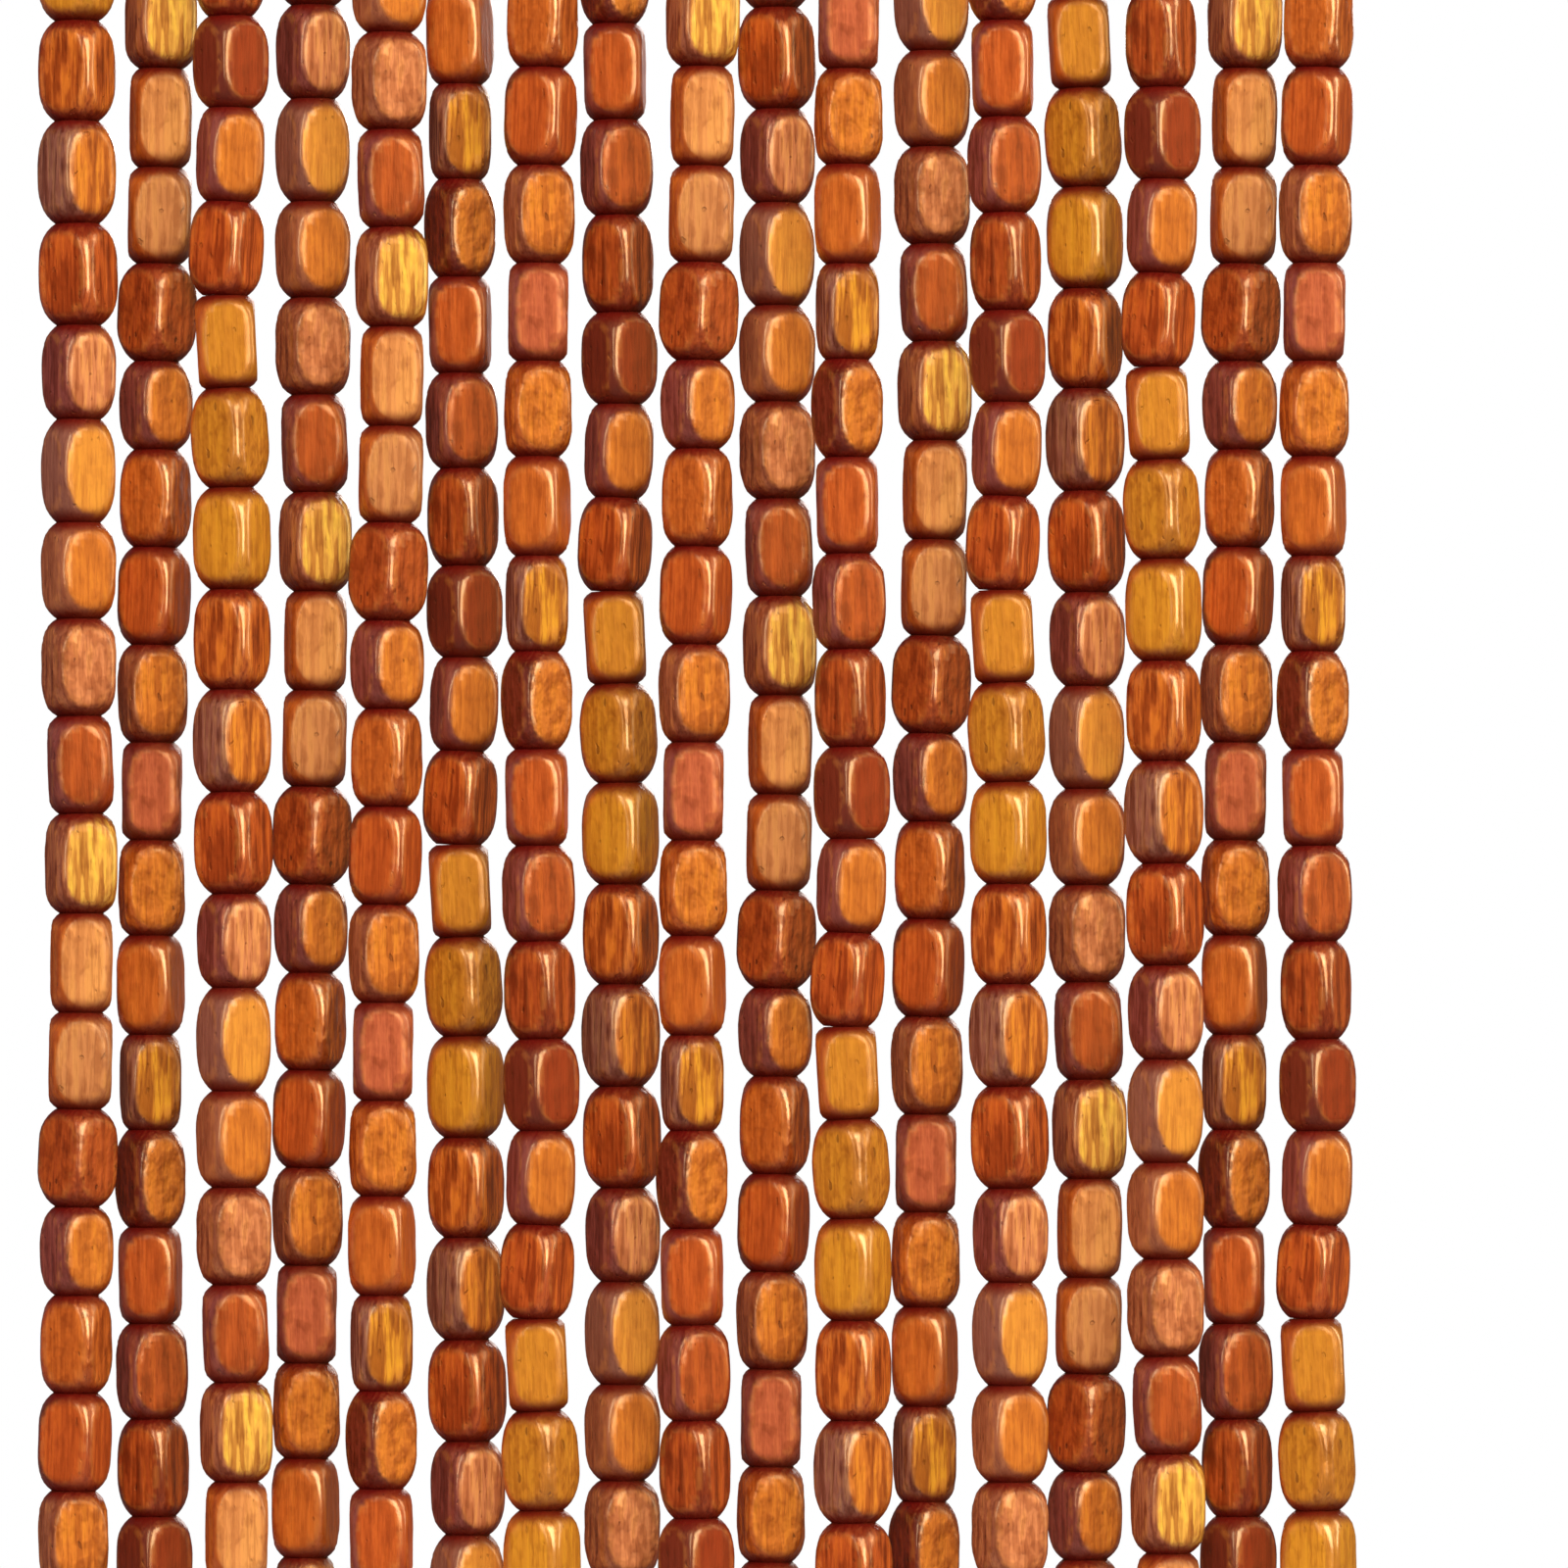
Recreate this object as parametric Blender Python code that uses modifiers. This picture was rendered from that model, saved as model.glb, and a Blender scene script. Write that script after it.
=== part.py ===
"""A cut length of bead curtain: strands of squared wooden beads on waxed thread, under a folded heading tape.

Metres, +Z up. The origin is the middle of the heading's top edge, +X runs along the heading and the
front faces -Y. Every strand is a stretch of one repeating loop of turned and shaved beads, so the beads
are charted once and each strand only names the bead that it starts with.
"""

import math
from collections import namedtuple

import bmesh
import bpy
from mathutils import Vector

PITCH = 0.010  # from one strand's axis to the next
GAP = 0.0003  # between pieces that touch

# The heading: a tape folded over the ribbon that the threads are sewn to
TAPE_LENGTH = 0.172
TAPE_HEIGHT = 0.022
TAPE_LAYER = 0.001
FOLD_STEPS = 8
RIBBON_LENGTH = 0.168
RIBBON_THICKNESS = 0.0014
RIBBON_ABOVE_HEM = 0.0008  # the ribbon stops this far inside the tape's lower edge
THREAD_SEWN_IN = 0.002

# A strand's square section, as the distance from its middle to a corner
THREAD_CORNER = 0.0006
BEAD_END_CORNER = 0.0029
KNOT_CORNER = 0.0017
KNOT_DROP = 0.0016  # from the last bead to the knot's widest place, and again to its tip
CORNER_OF_FLAT = 1.3  # a bead's corner over half its width across flats: the edges are well rounded
FLAT_END = 0.81  # from the middle of a bead's flat to its edge, over half the width across flats
BELLY_SHARE = 0.27  # of the bead's length, from its middle to the end of its flats
SWAY_KEPT = 0.65  # of a bead's charted place to the side, so that neighbours hang clear
CORNERS = 4

# One loop of beads, top to bottom. length: along the strand. width: as it shows from the front.
# sway: its middle to the right of the strand's axis. turn: degrees anticlockwise seen from above,
# so that a bead turned by a positive angle shows its left face.
Bead = namedtuple("Bead", "mark length width sway turn")
BEADS = [
    Bead("A", 0.0123, 0.0094, -0.0006, 21),
    Bead("B", 0.0126, 0.0090, -0.0002, -30),
    Bead("C", 0.0118, 0.0096, 0.0001, 38),
    Bead("D", 0.0121, 0.0089, 0.0004, 18),
    Bead("E", 0.0121, 0.0094, -0.0012, -30),
    Bead("F", 0.0119, 0.0078, -0.0013, 3),
    Bead("G", 0.0128, 0.0097, 0.0003, -32),
    Bead("H", 0.0131, 0.0098, 0.0002, -25),
    Bead("I", 0.0129, 0.0097, 0.0005, -25),
    Bead("J", 0.0132, 0.0100, 0.0001, 33),
    Bead("K", 0.0131, 0.0099, 0.0007, -28),
    Bead("L", 0.0121, 0.0096, 0.0009, 28),
    Bead("M", 0.0133, 0.0096, 0.0005, 28),
    Bead("N", 0.0124, 0.0098, 0.0008, 24),
    Bead("O", 0.0125, 0.0097, 0.0006, 20),
    Bead("P", 0.0126, 0.0086, 0.0009, 8),
    Bead("Q", 0.0128, 0.0095, 0.0015, 18),
    Bead("R", 0.0128, 0.0082, 0.0011, 10),
    Bead("S", 0.0124, 0.0083, 0.0011, 5),
    Bead("T", 0.0126, 0.0099, 0.0005, -42),
    Bead("U", 0.0114, 0.0095, 0.0001, 28),
    Bead("V", 0.0126, 0.0090, 0.0005, -22),
    Bead("W", 0.0126, 0.0092, -0.0002, -22),
    Bead("X", 0.0126, 0.0092, -0.0005, 17),
    Bead("Y", 0.0126, 0.0075, -0.0005, 2),
    Bead("Z", 0.0123, 0.0087, -0.0005, 12),
    Bead("a", 0.0128, 0.0087, -0.0009, -15),
    Bead("b", 0.0123, 0.0082, -0.0006, 15),
    Bead("c", 0.0126, 0.0090, -0.0011, 33),
    Bead("d", 0.0124, 0.0079, -0.0007, -5),
]

# The strands from left to right. first: the mark of the top bead. bare: the thread that shows between
# the heading and that bead. beads: how many it carries. depth: its beads' place behind the heading's
# middle, because beads as wide as the pitch push their neighbours to the front and the back by turns.
Strand = namedtuple("Strand", "first bare beads depth")
STRANDS = [
    Strand("H", 0.0043, 17, -0.0023),
    Strand("Q", 0.0105, 17, 0.0021),
    Strand("B", 0.0042, 17, -0.0024),
    Strand("K", 0.0020, 18, 0.0022),
    Strand("N", 0.0065, 17, -0.0024),
    Strand("a", 0.0125, 17, 0.0023),
    Strand("V", 0.0108, 17, -0.0022),
    Strand("c", 0.0049, 17, 0.0024),
    Strand("Q", 0.0105, 17, -0.0024),
    Strand("J", 0.0022, 18, 0.0025),
    Strand("Y", 0.0110, 17, -0.0024),
    Strand("M", 0.0077, 17, 0.0024),
    Strand("c", 0.0048, 17, -0.0026),
    Strand("E", 0.0018, 18, 0.0025),
    Strand("A", 0.0011, 18, -0.0025),
    Strand("Q", 0.0105, 17, 0.0022),
    Strand("V", 0.0108, 17, -0.0021),
]

FOLD_RADIUS = RIBBON_THICKNESS / 2 + GAP + TAPE_LAYER / 2  # of the middle of the tape's thickness
FOLD_CENTRE = -FOLD_RADIUS - TAPE_LAYER / 2
RIBBON_TOP = FOLD_CENTRE
RIBBON_BOTTOM = -TAPE_HEIGHT + RIBBON_ABOVE_HEM


def clear_scene():
    for thing in list(bpy.data.objects):
        bpy.data.objects.remove(thing, do_unlink=True)


def new_collection(name):
    collection = bpy.data.collections.new(name)
    bpy.context.scene.collection.children.link(collection)
    return collection


def new_object(name, mesh, collection, material):
    """A finished bmesh as a named object."""
    data = bpy.data.meshes.new(name)
    mesh.to_mesh(data)
    mesh.free()
    data.materials.append(material)
    thing = bpy.data.objects.new(name, data)
    collection.objects.link(thing)
    return thing


def new_material(name, colour, roughness):
    material = bpy.data.materials.new(name)
    material.use_nodes = True
    shader = material.node_tree.nodes["Principled BSDF"]
    shader.inputs["Base Color"].default_value = (*colour, 1)
    shader.inputs["Roughness"].default_value = roughness
    shader.inputs["Metallic"].default_value = 0
    return material


def half_across_flats(bead):
    """Half a bead's width across flats, from the width that it shows at its turn."""
    turn = math.radians(abs(bead.turn))
    return bead.width / 2 / (math.cos(turn) + FLAT_END * math.sin(turn))


def nearest_turn(turn, before):
    """The same square seen turned by the fewest degrees from the section before."""
    quarter = 360 / CORNERS
    return turn + quarter * round((before - turn) / quarter)


def section(x, y, z, corner, turn):
    """A strand's square section at one height: its four corners, anticlockwise from above."""
    angles = [math.radians(turn + (k + 0.5) * 360 / CORNERS) for k in range(CORNERS)]
    return [Vector((x + corner * math.cos(a), y + corner * math.sin(a), z)) for a in angles]


def strand_sections(number, strand):
    """Every section of a strand from its root in the ribbon down to its knot's tip."""
    axis = (number - (len(STRANDS) - 1) / 2) * PITCH
    start = [bead.mark for bead in BEADS].index(strand.first)
    run = [BEADS[(start + k) % len(BEADS)] for k in range(strand.beads)]
    turn = run[0].turn
    sway = run[0].sway * SWAY_KEPT
    z = -TAPE_HEIGHT - strand.bare
    sections = [
        section(axis, 0, RIBBON_BOTTOM + THREAD_SEWN_IN, THREAD_CORNER, turn),
        section(axis, 0, -TAPE_HEIGHT - GAP, THREAD_CORNER, turn),
        section(axis + sway, strand.depth, z, THREAD_CORNER, turn),
        section(axis + sway, strand.depth, z, BEAD_END_CORNER, turn),
    ]
    for bead, below in zip(run, run[1:] + run[-1:]):
        turn = nearest_turn(bead.turn, turn)
        corner = half_across_flats(bead) * CORNER_OF_FLAT
        middle = z - bead.length / 2
        x = axis + bead.sway * SWAY_KEPT
        for end in (1, -1):
            height = middle + end * BELLY_SHARE * bead.length
            sections.append(section(x, strand.depth, height, corner, turn))
        z -= bead.length
        turn = (turn + nearest_turn(below.turn, turn)) / 2
        x = axis + (bead.sway + below.sway) / 2 * SWAY_KEPT
        sections.append(section(x, strand.depth, z, BEAD_END_CORNER, turn))
    sections += [
        section(x, strand.depth, z, THREAD_CORNER, turn),
        section(x, strand.depth, z - KNOT_DROP, KNOT_CORNER, turn),
        section(x, strand.depth, z - 2 * KNOT_DROP, THREAD_CORNER, turn),
    ]
    return sections


def add_loft(mesh, sections):
    """A closed four-sided body, made by drawing one face down through the sections."""
    start = bmesh.ops.create_circle(mesh, segments=CORNERS, radius=THREAD_CORNER, cap_ends=True)
    face = start["verts"][0].link_faces[0]
    rim = list(face.edges)
    for vert, place in zip(face.verts, sections[0]):
        vert.co = place
    for places in sections[1:]:
        face = bmesh.ops.extrude_discrete_faces(mesh, faces=[face])["faces"][0]
        for vert, place in zip(face.verts, places):
            vert.co = place
    bmesh.ops.contextual_create(mesh, geom=rim)


def make_strands(collection, material):
    mesh = bmesh.new()
    for number, strand in enumerate(STRANDS):
        add_loft(mesh, strand_sections(number, strand))
    bmesh.ops.recalc_face_normals(mesh, faces=mesh.faces)
    return new_object("strands", mesh, collection, material)


def make_ribbon(collection, material, strands):
    """The narrow ribbon at the top, with every strand's thread fused into its lower edge."""
    mesh = bmesh.new()
    cube = bmesh.ops.create_cube(mesh, size=1)["verts"]
    height = RIBBON_TOP - RIBBON_BOTTOM
    bmesh.ops.scale(mesh, verts=cube, vec=(RIBBON_LENGTH, RIBBON_THICKNESS, height))
    bmesh.ops.translate(mesh, verts=cube, vec=(0, 0, RIBBON_BOTTOM + height / 2))
    ribbon = new_object("bead_strands", mesh, collection, material)
    union = ribbon.modifiers.new("threads sewn in", "BOOLEAN")
    union.operation = "UNION"
    union.object = strands
    return ribbon


def make_tape(collection, material):
    """The heading tape, an open strip folded over the ribbon and given its thickness."""
    fold = [math.pi * k / FOLD_STEPS for k in range(FOLD_STEPS + 1)]
    profile = [(-FOLD_RADIUS, -TAPE_HEIGHT)]
    profile += [
        (-FOLD_RADIUS * math.cos(a), FOLD_CENTRE + FOLD_RADIUS * math.sin(a)) for a in fold
    ]
    profile += [(FOLD_RADIUS, -TAPE_HEIGHT)]
    mesh = bmesh.new()
    verts = [mesh.verts.new((-TAPE_LENGTH / 2, y, z)) for y, z in profile]
    edges = [mesh.edges.new(pair) for pair in zip(verts, verts[1:])]
    drawn = bmesh.ops.extrude_edge_only(mesh, edges=edges)["geom"]
    far = [item for item in drawn if isinstance(item, bmesh.types.BMVert)]
    bmesh.ops.translate(mesh, verts=far, vec=(TAPE_LENGTH, 0, 0))
    tape = new_object("heading_tape", mesh, collection, material)
    thickness = tape.modifiers.new("cloth", "SOLIDIFY")
    thickness.thickness = TAPE_LAYER
    thickness.offset = 0
    thickness.use_even_offset = True
    tape.data.shade_smooth()
    tape.data.set_sharp_from_angle(angle=math.radians(40))
    return tape


def main():
    clear_scene()
    parts = new_collection("bead_curtain")
    cutters = new_collection("cutters")
    wood = new_material("varnished wood", (0.42, 0.13, 0.03), 0.3)
    cotton = new_material("woven tape", (0.32, 0.17, 0.09), 0.85)
    strands = make_strands(cutters, wood)
    strands.hide_render = True
    strands.display_type = "WIRE"
    make_ribbon(parts, wood, strands)
    make_tape(parts, cotton)


main()
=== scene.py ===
# %% [markdown]
# A bead curtain, seen close up
#
# The real object is a door curtain: a folded heading tape, and under it a close row of waxed threads,
# each strung with wooden beads from top to bottom. A bead starts as a turned barrel. Four flats are
# shaved off it, it is stained, and it is varnished, so it is neither round nor square.
#
# The scene is built the way the curtain is: shape one bead of each kind, thread the kinds in their
# order, sew the threads to a ribbon and fold the tape over it. The sizes repeat those of the solids.

# %% Load the frame
import math
from collections import namedtuple

import bmesh
import bpy
import numpy as np
from mathutils import Matrix, Vector, noise


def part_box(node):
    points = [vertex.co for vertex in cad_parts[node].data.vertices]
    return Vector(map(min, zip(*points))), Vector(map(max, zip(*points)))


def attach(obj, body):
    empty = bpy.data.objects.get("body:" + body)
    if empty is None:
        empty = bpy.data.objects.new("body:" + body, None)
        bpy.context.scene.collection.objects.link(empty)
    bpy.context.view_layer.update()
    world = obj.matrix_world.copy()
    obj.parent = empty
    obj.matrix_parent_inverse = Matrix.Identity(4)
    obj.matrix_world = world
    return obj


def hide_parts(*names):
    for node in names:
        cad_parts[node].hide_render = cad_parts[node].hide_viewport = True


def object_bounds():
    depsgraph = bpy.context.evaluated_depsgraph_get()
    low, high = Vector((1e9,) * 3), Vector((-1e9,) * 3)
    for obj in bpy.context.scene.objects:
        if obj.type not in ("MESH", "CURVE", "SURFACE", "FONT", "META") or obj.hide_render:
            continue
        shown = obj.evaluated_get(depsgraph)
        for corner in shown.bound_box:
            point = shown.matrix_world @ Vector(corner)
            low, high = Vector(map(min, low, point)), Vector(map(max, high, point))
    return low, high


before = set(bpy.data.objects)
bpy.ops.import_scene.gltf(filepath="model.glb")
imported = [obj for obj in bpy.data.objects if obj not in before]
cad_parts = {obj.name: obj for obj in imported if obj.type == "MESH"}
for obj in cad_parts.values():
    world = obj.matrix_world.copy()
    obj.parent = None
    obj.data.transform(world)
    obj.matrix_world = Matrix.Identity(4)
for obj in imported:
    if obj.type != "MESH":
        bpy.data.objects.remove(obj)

cad_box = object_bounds()
body = "root"
print("solids", sorted(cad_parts), "box", [tuple(round(c, 4) for c in corner) for corner in cad_box])

# %% [markdown]
# The beads are charted
#
# All the strands are stretches of one loop of thirty beads, so the chart has thirty rows. Length, width,
# sway and turn are the sizes of the solids. The other columns are for looks: how boxy the barrel is,
# the stain of the bead, the colour of the painted shade on the one flat that faces left, away from the
# light, and how striped, lumpy and matt the wood is.
# Colours are named once, as a dyer would name them, and the chart uses the names.

# %% Colours of stain, and of the painted shade on one flat, in the display's own values from 0 to 255
STAIN_AND_SHADE_COLOURS = {
    "cherry": (180, 79, 28),
    "deep cherry": (136, 40, 14),
    "mahogany": (112, 40, 26),
    "plum": (138, 68, 60),
    "russet": (164, 70, 26),
    "chestnut": (188, 94, 32),
    "amber": (198, 112, 36),
    "ochre": (194, 126, 34),
    "gold": (206, 138, 36),
    "honey": (216, 142, 52),
    "straw": (222, 168, 70),
    "fawn": (190, 124, 74),
    "tan": (208, 138, 78),
    "rose": (204, 128, 82),
    "brick": (184, 92, 60),
    "umber": (146, 92, 74),
    "clay": (166, 98, 64),
}


def linear(colour):
    """A display colour from 0 to 255 as the linear values that the shader needs."""
    parts = [c / 255 for c in colour]
    return [p / 12.92 if p <= 0.04045 else ((p + 0.055) / 1.055) ** 2.4 for p in parts]


print(len(STAIN_AND_SHADE_COLOURS), "stains")

# %% The loop of beads, top to bottom
Bead = namedtuple("Bead", "mark length width sway turn boxy flat heart stripes lumps matt")
BEADS = [
    Bead("A", 0.0123, 0.0094, -0.0006, 21, 2.8, "russet", "plum", 0.6, 0.4, 0.2),
    Bead("B", 0.0126, 0.0090, -0.0002, -30, 3.0, "russet", "mahogany", 0.8, 0.4, 0.1),
    Bead("C", 0.0118, 0.0096, 0.0001, 38, 3.1, "deep cherry", "mahogany", 0.1, 0.1, 0.4),
    Bead("D", 0.0121, 0.0089, 0.0004, 18, 2.8, "amber", "plum", 0.3, 0.2, 0.3),
    Bead("E", 0.0121, 0.0094, -0.0012, -30, 3.0, "cherry", "mahogany", 0.9, 0.2, 0.1),
    Bead("F", 0.0119, 0.0078, -0.0013, 3, 3.9, "ochre", "chestnut", 0.1, 0.1, 0.2),
    Bead("G", 0.0128, 0.0097, 0.0003, -32, 3.1, "ochre", "chestnut", 0.2, 0.6, 0.1),
    Bead("H", 0.0131, 0.0098, 0.0002, -25, 3.1, "gold", "amber", 0.2, 0.2, 0.0),
    Bead("I", 0.0129, 0.0097, 0.0005, -25, 2.8, "chestnut", "cherry", 1.0, 0.2, 0.2),
    Bead("J", 0.0132, 0.0100, 0.0001, 33, 2.7, "amber", "umber", 0.9, 0.1, 0.2),
    Bead("K", 0.0131, 0.0099, 0.0007, -28, 3.0, "cherry", "cherry", 0.9, 0.2, 0.2),
    Bead("L", 0.0121, 0.0096, 0.0009, 28, 2.7, "rose", "plum", 0.8, 0.2, 0.4),
    Bead("M", 0.0133, 0.0096, 0.0005, 28, 2.5, "honey", "umber", 0.1, 0.1, 0.4),
    Bead("N", 0.0124, 0.0098, 0.0008, 24, 2.7, "amber", "clay", 0.3, 0.3, 0.2),
    Bead("O", 0.0125, 0.0097, 0.0006, 20, 3.0, "rose", "clay", 0.5, 0.8, 0.4),
    Bead("P", 0.0126, 0.0086, 0.0009, 8, 2.7, "russet", "plum", 0.4, 0.2, 0.2),
    Bead("Q", 0.0128, 0.0095, 0.0015, 18, 3.1, "straw", "clay", 0.9, 0.1, 0.1),
    Bead("R", 0.0128, 0.0082, 0.0011, 10, 3.4, "tan", "chestnut", 0.3, 0.4, 0.4),
    Bead("S", 0.0124, 0.0083, 0.0011, 5, 3.0, "fawn", "chestnut", 0.3, 0.3, 0.5),
    Bead("T", 0.0126, 0.0099, 0.0005, -42, 3.2, "russet", "mahogany", 0.4, 0.8, 0.4),
    Bead("U", 0.0114, 0.0095, 0.0001, 28, 2.8, "amber", "plum", 0.4, 0.6, 0.1),
    Bead("V", 0.0126, 0.0090, 0.0005, -22, 3.0, "chestnut", "cherry", 0.3, 0.7, 0.0),
    Bead("W", 0.0126, 0.0092, -0.0002, -22, 3.2, "cherry", "mahogany", 0.3, 0.2, 0.0),
    Bead("X", 0.0126, 0.0092, -0.0005, 17, 2.8, "amber", "clay", 0.6, 0.7, 0.3),
    Bead("Y", 0.0126, 0.0075, -0.0005, 2, 3.7, "brick", "plum", 0.2, 0.6, 0.9),
    Bead("Z", 0.0123, 0.0087, -0.0005, 12, 2.7, "amber", "chestnut", 0.4, 0.9, 0.3),
    Bead("a", 0.0128, 0.0087, -0.0009, -15, 3.2, "chestnut", "cherry", 0.2, 0.2, 0.0),
    Bead("b", 0.0123, 0.0082, -0.0006, 15, 3.1, "ochre", "umber", 1.0, 0.1, 0.3),
    Bead("c", 0.0126, 0.0090, -0.0011, 33, 2.8, "amber", "mahogany", 0.2, 0.9, 0.0),
    Bead("d", 0.0124, 0.0079, -0.0007, -5, 3.4, "cherry", "plum", 0.2, 0.3, 0.2),
]
print(len(BEADS), "kinds of bead, one loop is", round(sum(b.length for b in BEADS), 4), "m long")

# %% The strands, left to right
PITCH = 0.010  # from one strand's axis to the next
SWAY_KEPT = 0.65  # of a bead's charted place to the side, as in the solids

# The first bead, the bare thread above it, how many beads, and how far back the strand hangs
Strand = namedtuple("Strand", "first bare beads depth")
STRANDS = [
    Strand("H", 0.0043, 17, -0.0023),
    Strand("Q", 0.0105, 17, 0.0021),
    Strand("B", 0.0042, 17, -0.0024),
    Strand("K", 0.0020, 18, 0.0022),
    Strand("N", 0.0065, 17, -0.0024),
    Strand("a", 0.0125, 17, 0.0023),
    Strand("V", 0.0108, 17, -0.0022),
    Strand("c", 0.0049, 17, 0.0024),
    Strand("Q", 0.0105, 17, -0.0024),
    Strand("J", 0.0022, 18, 0.0025),
    Strand("Y", 0.0110, 17, -0.0024),
    Strand("M", 0.0077, 17, 0.0024),
    Strand("c", 0.0048, 17, -0.0026),
    Strand("E", 0.0018, 18, 0.0025),
    Strand("A", 0.0011, 18, -0.0025),
    Strand("Q", 0.0105, 17, 0.0022),
    Strand("V", 0.0108, 17, -0.0021),
]
tape_low, tape_high = (Vector(corner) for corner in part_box("heading_tape"))
HEM = tape_low.z  # the heading's lower edge
print(len(STRANDS), "strands carry", sum(s.beads for s in STRANDS), "beads")

# %% [markdown]
# Where each bead hangs
#
# A thread hangs plumb, but beads pushed together tilt a little, so each joint between two beads lies
# half way between their middles. A bead's axis then runs from the joint above it to the joint below.
# Working this out once gives the place of beads, threads and knots, and keeps them on each other.

# %% Joints and runs of beads
def strand_run(strand):
    """The beads of one strand, from the top."""
    start = [bead.mark for bead in BEADS].index(strand.first)
    return [BEADS[(start + k) % len(BEADS)] for k in range(strand.beads)]


def strand_axis(number):
    return (number - (len(STRANDS) - 1) / 2) * PITCH


def strand_joints(number, strand):
    """The points between beads, from the top of the first bead to the bottom of the last."""
    run = strand_run(strand)
    sways = [run[0].sway, *[bead.sway for bead in run], run[-1].sway]
    heights = [HEM - strand.bare]
    for bead in run:
        heights.append(heights[-1] - bead.length)
    middles = [(a + b) / 2 * SWAY_KEPT for a, b in zip(sways, sways[1:])]
    return [Vector((strand_axis(number) + x, strand.depth, z)) for x, z in zip(middles, heights)]


joints = [strand_joints(number, strand) for number, strand in enumerate(STRANDS)]
print("lowest joint", round(min(run[-1].z for run in joints), 4))

# %% [markdown]
# One bead from a drum
#
# A bead could be a cube with Subdivision Surface, but its flats would then swell evenly and lose the
# oval rim that shaving leaves. So the bead is made as the turner makes it: a drum, cut into rings by
# planes, is moved out to a barrel, and wherever the barrel is wider than the distance to a flat, it is
# held back to that distance. The rings are closer at the shoulders, and the points closer at the
# corners, because that is where the light breaks.

# %% The drum that every bead starts from
AROUND = 40  # points round a bead, a multiple of 8, so that one falls on each corner
RINGS = 17  # along it
CORNER_CROWDING = 0.5
SHOULDER_CROWDING = 0.30
CAP_INSETS = (0.5, 0.4)  # each end is drawn in twice, towards the bore


def crowded(value, share):
    """Moves evenly spaced values from -1 to 1 towards both ends."""
    return value * (1 + share - share * value**2)


def make_drum():
    mesh = bmesh.new()
    bmesh.ops.create_cone(mesh, segments=AROUND, radius1=1, radius2=1, depth=2, cap_ends=True)
    for ring in range(1, RINGS - 1):
        height = crowded(2 * ring / (RINGS - 1) - 1, SHOULDER_CROWDING)
        everything = mesh.verts[:] + mesh.edges[:] + mesh.faces[:]
        bmesh.ops.bisect_plane(mesh, geom=everything, plane_co=(0, 0, height), plane_no=(0, 0, 1))
    caps = [face for face in mesh.faces if len(face.verts) == AROUND]
    for share in CAP_INSETS:
        bmesh.ops.inset_individual(mesh, faces=caps, thickness=share)
    data = bpy.data.meshes.new("drum")
    mesh.to_mesh(data)
    mesh.free()
    return data


drum = make_drum()
drum_points = np.zeros(len(drum.vertices) * 3)
drum.vertices.foreach_get("co", drum_points)
drum_points = drum_points.reshape(-1, 3)
print("drum:", len(drum.vertices), "points,", len(drum.polygons), "faces")

# %% [markdown]
# Shaving the flats
#
# The barrel's outline is a formula with one number, boxy, for how suddenly it turns in at the ends.
# The four flats lie at slightly different depths and lean a little, because they are shaved by hand.
# A soft minimum joins barrel and flat, which wears the edge round. Between two flats a narrow ridge of
# the turned skin is left, and it is what catches the light. The same two distances say how far a point
# is shaved, and the finish reads that later, with how near the point is to the flat that gets painted
# shade.

# %% Shape of one bead
BELLY_OF_FLAT = 1.27  # the barrel's radius over the distance to a flat
VARNISH = 1.03  # stain and varnish thicken the bead a little
END_RADIUS = 0.0028
PRESSED = 0.00008  # the ends of two beads are pressed together by this much
EDGE_SHARPNESS = 36
LUMP_SIZE = 0.0029
LUMP_HEIGHT = 0.00014
LEAST_LUMPS = 0.4  # what even the smoothest bead has
FLAT_DEPTHS = (-0.035, 0.02)  # how far in or out of its place a flat may lie, over its distance
FLAT_LEAN = 0.03
RIM_SOFTNESS = 0.10  # of the step from skin to shaved wood, over the distance to the flat
BORE_DEPTH = 0.0003
ON_CAP = 0.99  # the drum's radius within which a point belongs to its flat ends
BEAD_SEED = 100
FLAT_END = 0.77  # from the middle of a flat to its edge, over the distance to the flat
PAINTED_SHADE_SIDE = 2  # the flats are numbered round the bead, and this one, which faces left, away from the light, gets painted shade
PAINTED_SHADE_EDGE = 0.15  # how far in from the flat's edge the painted shade is full, over half its width
PAINTED_SHADE_FADE = 1.2  # quarter turns past the flat, over which the painted shade fades out on the skin
Shape = namedtuple("Shape", "points shaved along to_heart")


def distance_to_flat(bead):
    """Half the width across flats, from the width that the bead shows at its turn."""
    turn = math.radians(abs(bead.turn))
    return VARNISH * bead.width / 2 / (math.cos(turn) + FLAT_END * math.sin(turn))


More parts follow.
